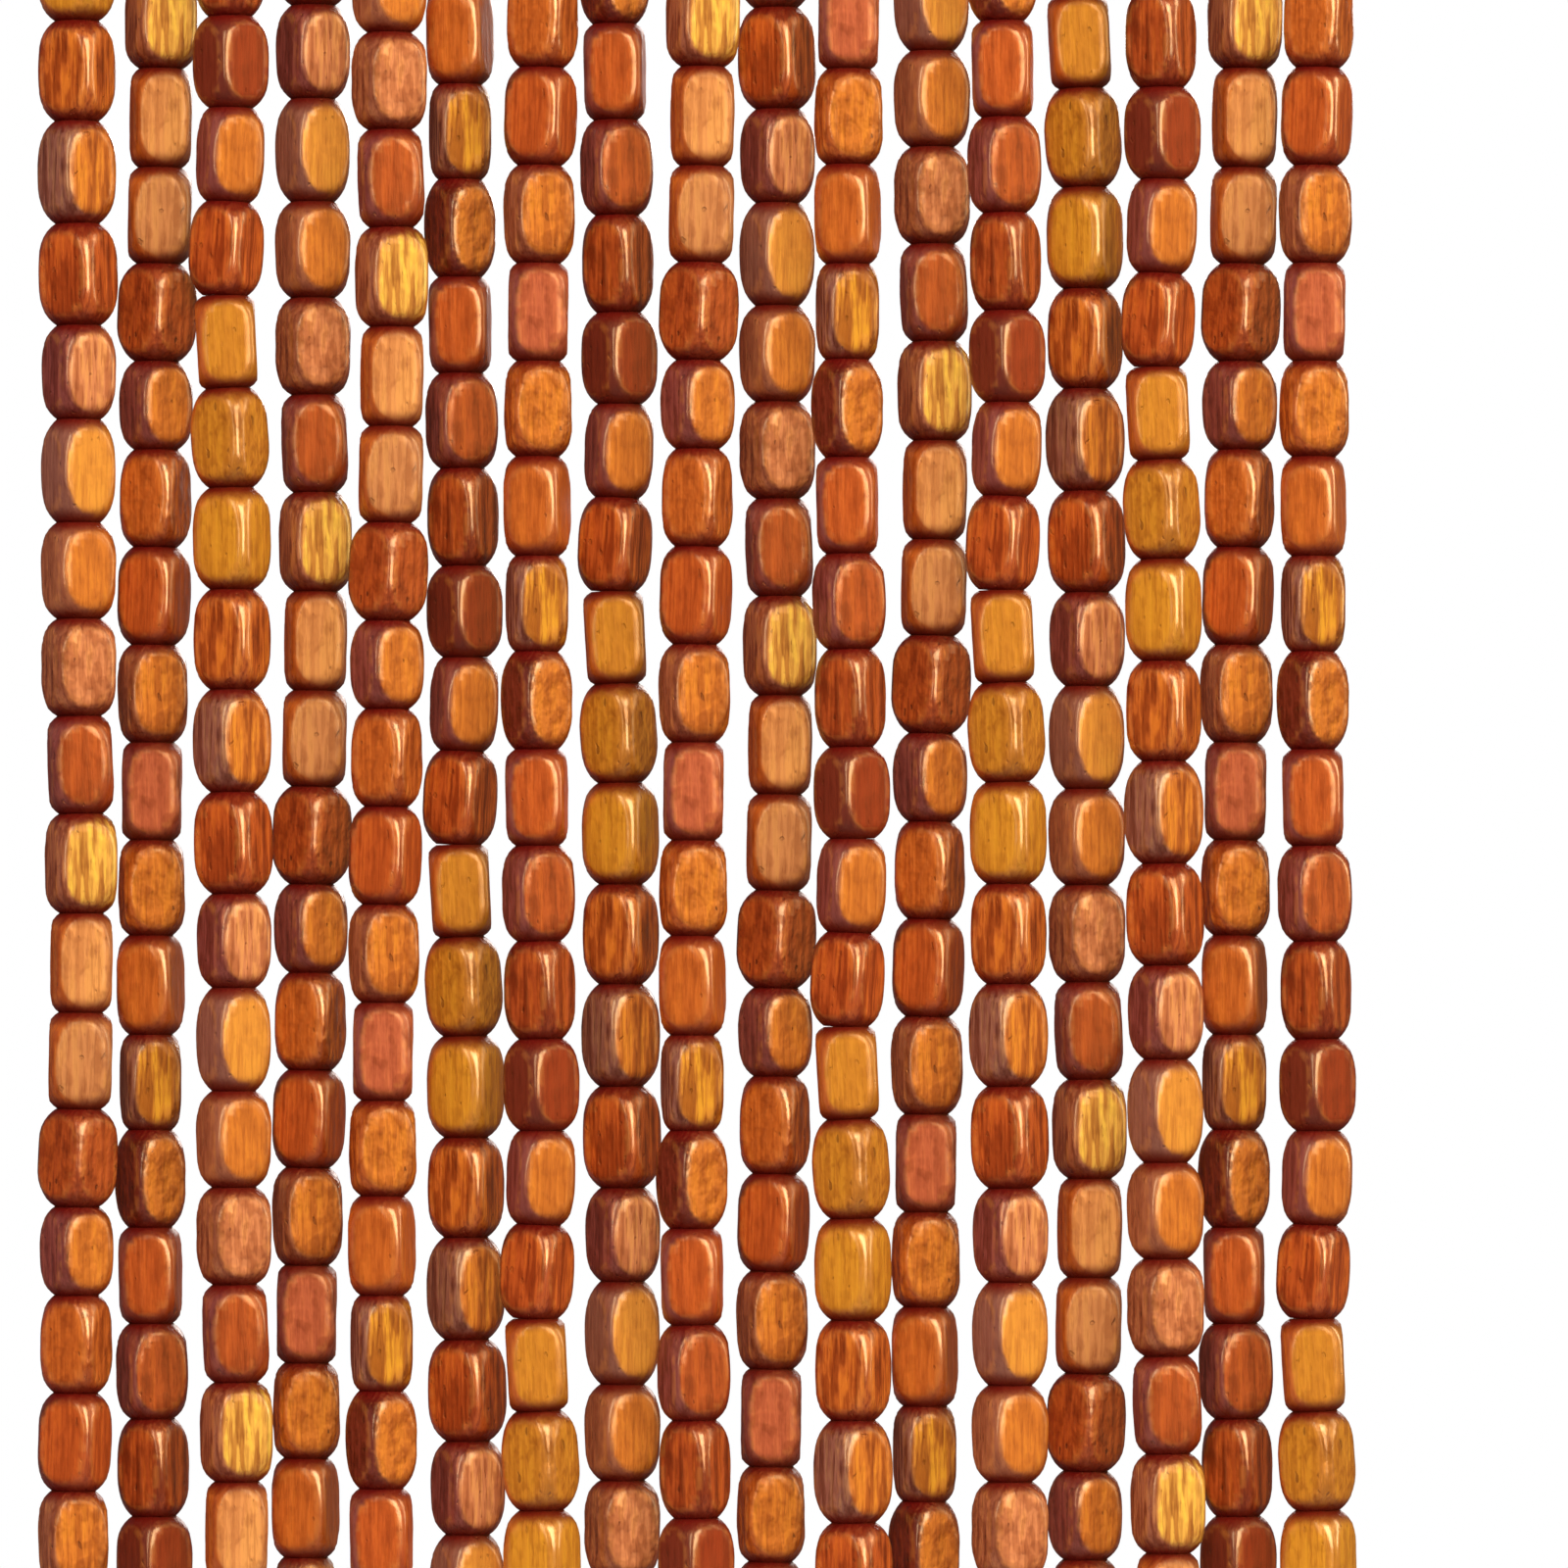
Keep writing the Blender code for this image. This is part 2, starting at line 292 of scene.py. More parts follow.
def shape_bead(number, bead):
    """The points of one kind of bead, upright on the origin, with what the finish needs to know."""
    random = np.random.default_rng(BEAD_SEED + number)
    x, y, z = drum_points.T
    quarter = math.pi / 2
    around = np.arctan2(y, x) + quarter / 2
    side = np.floor(around / quarter)
    across = (around / quarter - side) * 2 - 1
    turned = np.arctan(crowded(across, CORNER_CROWDING))
    angle = side * quarter + turned
    half = (bead.length + PRESSED) / 2
    along = np.abs(z)
    flat = distance_to_flat(bead)
    belly = flat * BELLY_OF_FLAT
    reach = (1 - (END_RADIUS / belly) ** 2) ** (1 / bead.boxy)
    barrel = belly * np.sqrt(1 - (reach * along) ** bead.boxy)
    depth = 1 + random.uniform(*FLAT_DEPTHS, 4)
    lean = random.uniform(-FLAT_LEAN, FLAT_LEAN, 4)
    which = side.astype(int) % 4
    shaved_at = flat * (depth[which] + lean[which] * z) / np.cos(turned)
    radius = (barrel**-EDGE_SHARPNESS + shaved_at**-EDGE_SHARPNESS) ** (-1 / EDGE_SHARPNESS)
    inner = np.hypot(x, y)
    on_cap = inner < ON_CAP
    radius = np.where(on_cap, END_RADIUS * inner, radius)
    place = np.stack([radius * np.cos(angle), radius * np.sin(angle), half * z], axis=1)
    bore = np.where(on_cap, BORE_DEPTH * (1 - inner), 0)
    place[:, 2] -= np.sign(z) * bore
    lumps = np.array([noise.noise(Vector(p) / LUMP_SIZE + Vector((7 * number, 0, 0))) for p in place])
    swell = lumps * LUMP_HEIGHT * (LEAST_LUMPS + bead.lumps) * (1 - along**6)
    place[:, :2] *= (1 + swell / np.maximum(radius, END_RADIUS))[:, None]
    shaved = np.where(on_cap, 0, np.clip(0.5 + (barrel - shaved_at) / (RIM_SOFTNESS * flat), 0, 1))
    # Painted shade: the flat that faces left, away from the light, is marked to take a darker colour,
    # fading out over the skin beside it.
    on_painted_shade = np.where(which == PAINTED_SHADE_SIDE, np.clip((1 - np.abs(across)) / PAINTED_SHADE_EDGE, 0, 1), 0)
    away = np.abs((angle - PAINTED_SHADE_SIDE * quarter + math.pi) % (2 * math.pi) - math.pi)
    near = np.clip(1 - (away - quarter / 2) / (PAINTED_SHADE_FADE * quarter), 0, 1)
    to_heart = np.maximum(on_painted_shade, near * (1 - shaved))
    return Shape(place, shaved, along, to_heart)


shapes = [shape_bead(number, bead) for number, bead in enumerate(BEADS)]
widest = max(np.hypot(s.points[:, 0], s.points[:, 1]).max() for s in shapes)
print("shaped", len(shapes), "kinds, widest radius", round(widest * 1000, 2), "mm")

# %% [markdown]
# Shader maths in plain Python
#
# A finish is mostly arithmetic on numbers that vary over the surface: stripes, lumps, wear. Written as
# nodes by hand that takes pages. This small class wraps a socket, so that an expression such as
# 1 - wear * 0.5 adds its Math nodes by itself. Colours go through Mix, which keeps them colours.

# %% A socket that does arithmetic
class Value:
    def __init__(self, finish, socket):
        self.finish = finish
        self.socket = socket

    def maths(self, operation, *others):
        return self.finish.node("ShaderNodeMath", {"operation": operation}, [self, *others])

    def __add__(self, other):
        return self.maths("ADD", other)

    def __sub__(self, other):
        return self.maths("SUBTRACT", other)

    def __rsub__(self, other):
        return self.finish.node("ShaderNodeMath", {"operation": "SUBTRACT"}, [other, self])

    def __mul__(self, other):
        return self.maths("MULTIPLY", other)

    def __pow__(self, other):
        return self.maths("POWER", other)

    __radd__ = __add__
    __rmul__ = __mul__

    def between(self, low, high):
        """0 below low, 1 above high, and a smooth step from one to the other."""
        steps = {"interpolation_type": "SMOOTHSTEP"}
        ends = {"Value": self, "From Min": low, "From Max": high}
        return self.finish.node("ShaderNodeMapRange", steps, ends)


class Finish:
    """One material, built node by node."""

    def __init__(self, name):
        self.material = bpy.data.materials.new(name)
        self.material.use_nodes = True
        self.tree = self.material.node_tree
        self.shader = self.tree.nodes["Principled BSDF"]

    def put(self, value, socket):
        if isinstance(value, Value):
            self.tree.links.new(value.socket, socket)
        else:
            socket.default_value = value

    def node(self, kind, settings=None, inputs=None, output=0):
        """Adds a node: its settings first, then its sockets, by name or in order."""
        made = self.tree.nodes.new(kind)
        for name, setting in (settings or {}).items():
            setattr(made, name, setting)
        pairs = inputs.items() if isinstance(inputs, dict) else enumerate(inputs or [])
        for socket, value in pairs:
            self.put(value, made.inputs[socket])
        return Value(self, made.outputs[output])

    def attribute(self, name, output):
        return self.node("ShaderNodeAttribute", {"attribute_name": name}, output=output)

    def noise(self, place, scale, detail=2, rough=0.5):
        return self.node("ShaderNodeTexNoise", None,
                         {"Vector": place, "Scale": scale, "Detail": detail, "Roughness": rough})

    def stretched(self, place, scale):
        """The place with each axis scaled, which draws a pattern out along the smallest."""
        return self.node("ShaderNodeVectorMath", {"operation": "MULTIPLY"}, [place, scale])

    def mix(self, share, first, second, blend="MIX"):
        """A colour between two colours. A plain colour is given as three linear values."""
        made = self.tree.nodes.new("ShaderNodeMix")
        made.data_type = "RGBA"
        made.blend_type = blend
        self.put(share, made.inputs["Factor"])
        for name, value in (("A", first), ("B", second)):
            socket = next(s for s in made.inputs if s.name == name and s.type == "RGBA")
            self.put(value if isinstance(value, Value) else (*value, 1), socket)
        return Value(self, next(s for s in made.outputs if s.type == "RGBA"))

    def bump(self, height, distance, strength=1, below=None):
        inputs = {"Height": height, "Distance": distance, "Strength": strength}
        if below:
            inputs["Normal"] = below
        return self.node("ShaderNodeBump", None, inputs)

    def surface(self, **sockets):
        """Sets the shader's sockets, written with _ for a space."""
        for name, value in sockets.items():
            self.put(value, self.shader.inputs[name.replace("_", " ")])
        return self.material


print("shader maths ready")

# %% [markdown]
# Stained and varnished wood
#
# One finish serves every bead. What differs from bead to bead is written on the points of the mesh: the
# stain of its flats, the colour of the painted shade on its left flat, how striped, lumpy and matt it
# is, and the bead's own coordinates, so that the grain runs along each bead and stays on it from
# wherever it is seen. The colours come in layers: painted shade on the left flat, grain stripes,
# blotches, pits that hold stain, a painted highlight round each flat's rim that also stands for worn
# varnish, and painted shade at the ends, where beads meet. Gloss comes last. Varnish lies thick on
# the smooth skin of ridges and shoulders, and sinks into the shaved flats, which stay satin. One even
# gloss would put the same glare on the flats, and the bright line along each ridge would be lost.

# %% Wood finish
STAIN_IN_PITS = linear((70, 18, 12))
# The colour of the painted shade at both ends of a bead, where it meets the next
PAINTED_SHADE_AT_ENDS = linear((94, 5, 8))
# The colour of the painted highlight round each flat's rim, which also stands for worn varnish
RIM_HIGHLIGHT_AND_WEAR = linear((240, 160, 72))
DARK_GRAIN = (0.52, 0.34, 0.30)  # what is left of the stain's red, green and blue in a dark stripe
PALE_GRAIN = (1.20, 1.40, 1.10)

# How often each pattern changes in a mm, across the grain twice and then along it
DRIFT = (0.35, 0.35, 0.16)
FINE_GRAIN = (2.6, 2.6, 0.22)
WANDER = (0.5, 0.5, 0.30)
STRIPES = (1.10, 1.10, 0.09)
MOTTLE = (0.60, 0.60, 0.42)
PITS = (1.2, 1.2, 0.6)

FLAT_ROUGHNESS = 0.56
SKIN_SMOOTHER = 0.32  # how much less rough the skin is
COAT_ON_SKIN = 0.95
RAISED_GRAIN = 0.00034  # metres
RAISED_MOTTLE = 0.00085
RELIEF = 0.9  # strength of both


def wood_finish():
    wood = Finish("varnished_wood")
    place = wood.attribute("grain", "Vector")
    flat_stain = wood.attribute("flat_stain", "Color")
    heart_stain = wood.attribute("heart_stain", "Color")
    to_heart = wood.attribute("to_heart", "Fac")
    shaved = wood.attribute("shaved", "Fac")
    along = wood.attribute("along", "Fac")
    stripes = wood.attribute("stripes", "Fac")
    lumps = wood.attribute("lumps", "Fac")
    matt = wood.attribute("matt", "Fac")

    drift = wood.noise(wood.stretched(place, DRIFT), 1, 1)
    fine = wood.noise(wood.stretched(place, FINE_GRAIN), 1, 2, 0.6)
    wander = wood.noise(wood.stretched(place, WANDER), 1, 1) - 0.5
    bands = wood.noise(wood.stretched(place, STRIPES), 1, 1, 0.45) + wander * 0.35
    mottle = wood.noise(wood.stretched(place, MOTTLE), 1, 2, 0.5)
    pits = wood.noise(wood.stretched(place, PITS), 1, 1, 0.5).between(0.70, 0.78)

    edge_noise = wood.noise(place, 0.7, 1)
    # Painted shade on the flat that faces left, away from the light, with a ragged edge
    painted_shade_here = (to_heart + (edge_noise - 0.5) * 0.5).between(0.25, 0.75)
    colour = wood.mix(painted_shade_here, flat_stain, heart_stain)
    skin = 1 - shaved
    colour = wood.mix(skin * 0.22, colour, DARK_GRAIN, "MULTIPLY")
    striped = 0.14 + stripes * 0.86
    dark_band = bands.between(0.49, 0.58) * striped
    pale_band = (1 - bands.between(0.36, 0.46)) * striped
    colour = wood.mix(dark_band * (0.55 + 0.6 * drift), colour, DARK_GRAIN, "MULTIPLY")
    colour = wood.mix(pale_band, colour, PALE_GRAIN, "MULTIPLY")
    colour = wood.mix(fine.between(0.48, 0.64) * (0.3 + stripes * 0.4), colour, DARK_GRAIN, "MULTIPLY")
    blotches = mottle.between(0.50, 0.64) * (0.25 + lumps * 0.75)
    colour = wood.mix(blotches * 0.7, colour, DARK_GRAIN, "MULTIPLY")
    colour = wood.mix(pits * 0.80 * lumps, colour, STAIN_IN_PITS)
    # A painted highlight round each flat's rim, which also stands for varnish worn thin there
    rim_highlight_and_wear = (1 - (shaved * 2 - 1) ** 2) * edge_noise.between(0.35, 0.6)
    colour = wood.mix(rim_highlight_and_wear * 0.16, colour, RIM_HIGHLIGHT_AND_WEAR)
    # Painted shade at both ends of each bead, where it meets the next
    ends = along.between(0.66, 0.95)
    colour = wood.mix(ends * 0.96, colour, PAINTED_SHADE_AT_ENDS)

    rough = FLAT_ROUGHNESS + matt * 0.16 + mottle * 0.06 - skin * SKIN_SMOOTHER + ends * 0.2
    relief = wood.bump(bands * (0.3 + stripes) + fine * 0.3, RAISED_GRAIN, RELIEF)
    relief = wood.bump(mottle * (0.2 + lumps * lumps) - pits * 0.2, RAISED_MOTTLE, RELIEF, relief)
    shine = wood.shader.inputs
    shine["Specular IOR Level"].default_value = 0.6
    shine["Specular Tint"].default_value = (1.0, 0.54, 0.25, 1)
    shine["Coat Roughness"].default_value = 0.20
    shine["Coat IOR"].default_value = 1.9
    broken = (1 - mottle.between(0.52, 0.60) * lumps * 0.85) * (1 - dark_band * 0.5)
    coat = (COAT_ON_SKIN - matt * 0.6) * skin * (1 - ends) * broken
    return wood.surface(Base_Color=colour, Roughness=rough, Normal=relief, Coat_Weight=coat)


wood = wood_finish()
print("finish", wood.name, "has", len(wood.node_tree.nodes), "nodes")

# %% [markdown]
# Threading the beads
#
# A strand could be eighteen objects, but nearly three hundred loose objects would be slow to show and
# to export. Each strand is one mesh instead: the drum is appended once for each bead, and its points
# are moved to the shaped bead, turned and tilted onto the strand. The finish's values go on the points
# at the same time.

# %% String one strand
def bead_matrix(bead, top, bottom):
    """Turns a bead about its own axis and lays that axis from the joint above to the joint below."""
    tilt = Vector((0, 0, 1)).rotation_difference(top - bottom).to_matrix().to_4x4()
    return Matrix.Translation((top + bottom) / 2) @ tilt @ Matrix.Rotation(math.radians(bead.turn), 4, "Z")


def on_points(data, name, kind, field, values):
    layer = data.attributes.new(name, kind, "POINT")
    layer.data.foreach_set(field, np.ascontiguousarray(values, dtype=np.float32).ravel())


def finish_piece(data, name, material, node):
    """The last steps of every piece: its finish, its body and the solid that it stands for."""
    data.materials.append(material)
    piece = bpy.data.objects.new(name, data)
    bpy.context.scene.collection.objects.link(piece)
    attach(piece, body)
    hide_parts(node)
    return piece


GRAIN_STEP = (11.3, 5.7, 23.1)  # mm between the wood of one kind of bead and of the next


def string_beads(number, strand):
    mesh = bmesh.new()
    run = strand_run(strand)
    for _ in run:
        mesh.from_mesh(drum)
    data = bpy.data.meshes.new(f"beads_{number + 1:02d}")
    mesh.to_mesh(data)
    mesh.free()
    placed = []
    for bead, top, bottom in zip(run, joints[number], joints[number][1:]):
        matrix = np.array(bead_matrix(bead, top, bottom))
        placed.append(shapes[BEADS.index(bead)].points @ matrix[:3, :3].T + matrix[:3, 3])
    data.vertices.foreach_set("co", np.concatenate(placed).ravel())
    size = len(drum.vertices)
    kinds = [BEADS.index(bead) for bead in run]
    grain = [shapes[k].points * 1000 + np.multiply(GRAIN_STEP, k) for k in kinds]
    on_points(data, "grain", "FLOAT_VECTOR", "vector", np.concatenate(grain))
    for name in ("shaved", "along", "to_heart"):
        on_points(data, name, "FLOAT", "value", np.concatenate([getattr(shapes[k], name) for k in kinds]))
    for column in ("stripes", "lumps", "matt"):
        on_points(data, column, "FLOAT", "value", np.repeat([getattr(bead, column) for bead in run], size))
    # The stain of the flats, and the darker colour painted on the left flat as shade
    for column in ("flat", "heart"):
        colours = [[*linear(STAIN_AND_SHADE_COLOURS[getattr(bead, column)]), 1] for bead in run]
        on_points(data, column + "_stain", "FLOAT_COLOR", "color", np.repeat(colours, size, axis=0))
    data.shade_smooth()
    data.update()
    return finish_piece(data, f"beads_{number + 1:02d}", wood, "bead_strands")


strung = [string_beads(number, strand) for number, strand in enumerate(STRANDS)]
print("strung", len(strung), "strands,", sum(len(p.data.polygons) for p in strung), "faces")

# %% [markdown]
# Threads and their knots
#
# On the real curtain the thread hardly shows between pressed beads. It shows at the heading and under
# the last bead, where it ends in a barrel knot: three wraps round itself and a short tail. A curve with
# a bevel would give the tube, but not the place of each point along and round it, which the ply of the
# thread is drawn from. So a small circle is extruded from point to point along the thread's way.

# %% Sweep a thread
def thread_mesh():
    """An empty mesh whose points know where they lie round a thread, and how far along it in mm."""
    mesh = bmesh.new()
    mesh.verts.layers.float_vector.new("ply")
    return mesh


def sweep(mesh, path, radius, sides=8):
    """Extrudes a circle along a path of points and closes both ends."""
    ply = mesh.verts.layers.float_vector["ply"]
    ends = [path[0], *path, path[-1]]
    aims = [(after - before).normalized() for before, after in zip(ends, ends[2:])]
    first = bmesh.ops.create_circle(mesh, segments=sides, radius=radius, cap_ends=True)["verts"]
    for point in first:
        point[ply] = (point.co.x / radius, point.co.y / radius, 0)
    turn = Vector((0, 0, 1)).rotation_difference(aims[0]).to_matrix().to_4x4()
    bmesh.ops.transform(mesh, matrix=Matrix.Translation(path[0]) @ turn, verts=first)
    ring = list({edge for point in first for edge in point.link_edges})
    length = 0
    for here, there, before, after in zip(path, path[1:], aims, aims[1:]):
        grown = bmesh.ops.extrude_edge_only(mesh, edges=ring)["geom"]
        ring = [item for item in grown if isinstance(item, bmesh.types.BMEdge)]
        points = [item for item in grown if isinstance(item, bmesh.types.BMVert)]
        turn = before.rotation_difference(after).to_matrix().to_4x4()
        matrix = Matrix.Translation(there) @ turn @ Matrix.Translation(-here)
        bmesh.ops.transform(mesh, matrix=matrix, verts=points)
        length += (there - here).length * 1000
        for point in points:
            point[ply] = (point[ply].x, point[ply].y, length)
    bmesh.ops.contextual_create(mesh, geom=ring)


def thread_piece(mesh, name, node):
    bmesh.ops.recalc_face_normals(mesh, faces=mesh.faces)
    data = bpy.data.meshes.new(name)
    mesh.to_mesh(data)
    mesh.free()
    data.shade_smooth()
    return finish_piece(data, name, waxed, node)


print("threads can be swept")

# %% [markdown]
# Waxed thread
#
# Three plies twisted together, dyed wine red and waxed so that the beads slide on without fraying it.
# The ply is a sine of the angle round the thread and the way along it, so the ridges wind round the
# thread as real plies do, and follow it through the knot. An image or a plain noise would not.

# %% Thread finish
PLIES = 3
TWIST = 1.9  # radians for each mm of thread
WINE_RED = linear((92, 22, 24))
WINE_DARK = linear((46, 8, 12))


def thread_finish():
    yarn = Finish("waxed_thread")
    place = yarn.attribute("ply", "Vector")
    x, y, along = (yarn.node("ShaderNodeSeparateXYZ", None, [place], output=axis) for axis in range(3))
    ply = (y.maths("ARCTAN2", x) * PLIES + along * TWIST).maths("SINE") * 0.5 + 0.5
    fibre = yarn.noise(yarn.stretched(place, (3, 3, 1.2)), 3, 3, 0.6)
    # Painted shade: the grooves between the plies are darker; the fibre noise is the thread's own tone.
    colour = yarn.mix(ply * 0.7 + fibre * 0.3, WINE_DARK, WINE_RED)
    relief = yarn.bump(ply + fibre * 0.3, 0.00015, 0.8)
    return yarn.surface(Base_Color=colour, Roughness=fibre * 0.2 + 0.38, Normal=relief)


waxed = thread_finish()
print("finish", waxed.name)

# %% Threads with their knots
THREAD_RADIUS = 0.0005
WRAPS = 3
WRAP_RADIUS = 0.0010  # of the wrapped thread's own middle
WRAP_RISE = 0.00088  # from one wrap to the next
POINTS_A_WRAP = 14
TUCKED_IN = 0.25  # of the wrap's radius, where the first wrap starts and the last one ends
TUCK_POINTS = 5  # to come out a whole radius
KNOT_TOP = 0.0005  # under the last bead
KNOT_FOOT = 0.0036
TAIL_BEND = 0.0047
TAIL_END = 0.0058
TAIL_STRAY = 0.0007  # to any side
SEWN_IN = 0.016  # of each thread, inside the heading
TAIL_SEED = 5


def thread_path(number, random):
    """From inside the heading, through every bead, to the tail under the knot."""
    top = Vector((strand_axis(number), 0, HEM))
    first, last = joints[number][0], joints[number][-1]
    lean = []
    for share in (0.2, 0.4, 0.6, 0.8):
        ease = share * share * (3 - 2 * share)
        x = top.x + (first.x - top.x) * ease
        z = top.z + (first.z - top.z) * share
        lean.append(Vector((x, first.y * ease, z)))
    side, out = random.uniform(-TAIL_STRAY, TAIL_STRAY, 2)
    tail = [last - Vector((0, 0, KNOT_FOOT)), last + Vector((side * 0.5, out * 0.5, -TAIL_BEND)),
            last + Vector((side, out, -TAIL_END))]
    return [top + Vector((0, 0, SEWN_IN)), top, *lean, *joints[number], *tail]


def knot_path(last):
    """Three wraps round the thread, tucked in at both ends."""
    steps = WRAPS * POINTS_A_WRAP
    path = []
    for step in range(steps + 1):
        turn = 2 * math.pi * step / POINTS_A_WRAP
        nearest_end = min(step, steps - step)
        out = WRAP_RADIUS * min(1, TUCKED_IN + nearest_end / TUCK_POINTS)
        fall = KNOT_TOP + WRAP_RISE * step / POINTS_A_WRAP
        path.append(last + Vector((out * math.cos(turn), out * math.sin(turn), -fall)))
    return path


def make_threads():
    mesh = thread_mesh()
    random = np.random.default_rng(TAIL_SEED)
    for number in range(len(STRANDS)):
        sweep(mesh, thread_path(number, random), THREAD_RADIUS)
        sweep(mesh, knot_path(joints[number][-1]), THREAD_RADIUS)
    return thread_piece(mesh, "threads", "bead_strands")


threads = make_threads()
print("threads:", len(threads.data.polygons), "faces")

# %% [markdown]
# Ribbon and heading tape
#
# A maker sews the tops of the threads to a ribbon at an even pitch, lays a woven tape over it and folds
# it down on both sides. The fold could be simulated, but it is a simple U, so each cloth is a grid of
# points that is laid along its section, with the ripple that sewing gives it and the dents where the
# stitches pull. Solidify then gives the cloth its thickness. Each point keeps its place on the flat
# cloth, and the weave is drawn from that, so it turns over the fold unbroken.

# %% Woven cotton
YARN = 0.55  # mm from one yarn to the next
TAPE_BROWN = linear((150, 96, 64))
TAPE_DARK = linear((84, 46, 32))
TAPE_FADED = linear((176, 122, 84))
YARN_HEIGHT = 0.0002


def woven_finish():
    cotton = Finish("woven_tape")
    place = cotton.attribute("weave", "Vector")
    cloud = {"Vector": place, "Scale": 0.35, "Detail": 1}
    stray = cotton.stretched(cotton.node("ShaderNodeTexNoise", None, cloud, output=1), (0.25, 0.25, 0))
    bent = cotton.node("ShaderNodeVectorMath", {"operation": "ADD"}, [place, stray])
    x, y = (cotton.node("ShaderNodeSeparateXYZ", None, [bent], output=axis) for axis in range(2))
    across = (x * (math.pi / YARN)).maths("SINE")
    down = (y * (math.pi / YARN)).maths("SINE")
    warp_on_top = (across * down).between(-0.12, 0.12)
    wide, tall = across.maths("ABSOLUTE"), down.maths("ABSOLUTE")
    warp = wide ** 0.6 * (tall * 0.45 + 0.55)
    weft = tall ** 0.6 * (wide * 0.45 + 0.55)
    height = warp_on_top * warp + (1 - warp_on_top) * weft
    slub = cotton.noise(cotton.stretched(place, (0.12, 1.6, 1)), 1, 2)
    fuzz = cotton.noise(place, 5, 3, 0.7)
    faded = cotton.noise(place, 0.09, 2)
    # Painted shade: where the weave dips between yarns the cloth is darker; slub and fuzz are the yarn's
    # own tone.
    shade = height * 0.55 + slub * 0.3 + fuzz * 0.15
    colour = cotton.mix(shade, TAPE_DARK, TAPE_BROWN)
    colour = cotton.mix(faded.between(0.45, 0.7) * 0.25, colour, TAPE_FADED)
    relief = cotton.bump(height + fuzz * 0.3, YARN_HEIGHT, 0.9)
    cotton.shader.inputs["Sheen Weight"].default_value = 0.25
    cotton.shader.inputs["Specular IOR Level"].default_value = 0.25
    return cotton.surface(Base_Color=colour, Roughness=0.92 - height * 0.08, Normal=relief)


woven = woven_finish()
print("finish", woven.name)

# %% Lay a cloth along its section
CLOTH_STEP = 0.0008  # between the points of a cloth
RIPPLE = 0.00012


def cloth_piece(name, width, length, thickness, place, node):
    """A grid of points, placed by where they lie on the flat cloth, and thickened."""
    mesh = bmesh.new()
    columns, rows = round(width / CLOTH_STEP), round(length / CLOTH_STEP)
    bmesh.ops.create_grid(mesh, x_segments=columns, y_segments=rows, size=0.5)
    weave = mesh.verts.layers.float_vector.new("weave")
    for point in mesh.verts:
        u, v = point.co.x * width, (point.co.y + 0.5) * length
        point[weave] = (u * 1000, v * 1000, 0)
        point.co = place(u, v)
    data = bpy.data.meshes.new(name)
    mesh.to_mesh(data)
    mesh.free()
    data.shade_smooth()
    piece = finish_piece(data, name, woven, node)
    solid = piece.modifiers.new("thickness", "SOLIDIFY")
    solid.thickness = thickness
    solid.offset = 0
    solid.use_even_offset = True
    return piece


print("cloth can be laid")

# %% Ribbon
RIBBON_WIDTH = 0.168
RIBBON_HEIGHT = 0.0192
RIBBON_THICKNESS = 0.0013
RIBBON_FOOT = HEM + 0.0008  # just inside the tape


def on_ribbon(u, v):
    return Vector((u, noise.noise(Vector((u * 120, v * 60, 3))) * RIPPLE, RIBBON_FOOT + v))


ribbon = cloth_piece("ribbon", RIBBON_WIDTH, RIBBON_HEIGHT, RIBBON_THICKNESS, on_ribbon, "bead_strands")
print("ribbon", len(ribbon.data.vertices), "points")

# %% Heading tape, folded over the ribbon
TAPE_WIDTH = tape_high.x - tape_low.x
LAYER = 0.001
FOLD_RADIUS = 0.0015  # half way through the cloth
FOLD_MIDDLE = tape_high.z - LAYER / 2 - FOLD_RADIUS
TAPE_SIDE = FOLD_MIDDLE - HEM
TAPE_FLAT = 2 * TAPE_SIDE + math.pi * FOLD_RADIUS
SEAMS = (HEM + 0.003, FOLD_MIDDLE - 0.002)  # heights of the two rows of stitches
SEAM_PULL = 0.00016  # how far a stitch draws the cloth in
SEAM_REACH = 0.0009  # above and below the seam
STITCH_PITCH = 0.0028


def seam_dent(u, height):
    """How far the cloth is drawn in near the seams, deepest where a stitch goes down into it."""
    dent = 0
    for seam in SEAMS:
        near = math.exp(-(((height - seam) / SEAM_REACH) ** 2))
        dent += SEAM_PULL * near * (0.7 + 0.3 * math.cos(2 * math.pi * u / STITCH_PITCH))
    return dent


def on_tape(u, v):
    """The front side up from its hem, over the fold, and the back side down."""
    ripple = noise.noise(Vector((u * 90, v * 110, 0))) * RIPPLE
    if v < TAPE_SIDE:
        height = HEM + v
        return Vector((u, -FOLD_RADIUS + ripple + seam_dent(u, height), height))
    if v < TAPE_FLAT - TAPE_SIDE:
        turn = (v - TAPE_SIDE) / FOLD_RADIUS
        return Vector((u, -FOLD_RADIUS * math.cos(turn), FOLD_MIDDLE + FOLD_RADIUS * math.sin(turn)))
    height = HEM + TAPE_FLAT - v
    return Vector((u, FOLD_RADIUS + ripple - seam_dent(u, height), height))


tape = cloth_piece("heading_tape_cloth", TAPE_WIDTH, TAPE_FLAT, LAYER, on_tape, "heading_tape")
print("tape", round(TAPE_WIDTH, 4), "by", round(TAPE_FLAT, 4), "m flat")

# %% Stitches through tape and ribbon
STITCH_LENGTH = 0.0023
STITCH_RADIUS = 0.00022
STITCH_SLANT = 0.0001  # up or down at each end
STITCH_SEED = 8
SEAM_SHORT = 0.004  # of the tape's width
STITCH_SHAPE = ((0, -0.0004), (0.06, 0.00002), (0.25, 0.00016), (0.5, 0.0002), (0.75, 0.00016),
                (0.94, 0.00002), (1, -0.0004))  # share along, and height over the drawn-in cloth


